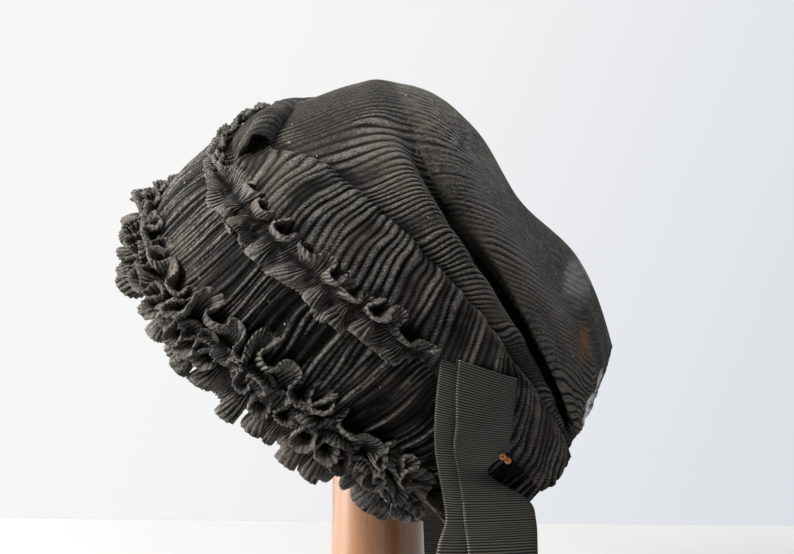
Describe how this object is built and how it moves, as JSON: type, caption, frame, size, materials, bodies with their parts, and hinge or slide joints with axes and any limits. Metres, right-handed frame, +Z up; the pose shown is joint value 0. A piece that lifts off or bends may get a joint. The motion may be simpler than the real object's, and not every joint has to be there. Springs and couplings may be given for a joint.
{
  "type": "mourning bonnet on a wooden hat stand",
  "caption": "Soft black crepe mourning bonnet with gathered brim, frills, ribbed band, puffed crown and ribbon ties, on a turned wooden hat stand.",
  "frame": {"origin": "centre of the stand base's underside, on the floor", "axes": "+Z up along the stand's post, the wearer's face towards -Y, the wearer's left towards +X"},
  "size_m": [0.2228, 0.2475, 0.3273],
  "materials": {
    "crepe": "matt crinkled silk crepe",
    "faded_crepe": "matt faded silk crepe",
    "grosgrain": "ribbed silk ribbon",
    "rust": "rusted",
    "wood": "satin varnish"
  },
  "bodies": {
    "root": {"brim": "crepe", "front_frill": "crepe", "mid_frill": "crepe", "band": "crepe", "crown": "faded_crepe", "ribbon_left": "grosgrain", "ribbon_left_under": "grosgrain", "ribbon_right": "grosgrain", "ribbon_pin": "rust", "stand_post": "wood", "stand_head": "wood", "stand_base": "wood"}
  },
  "joints": []
}
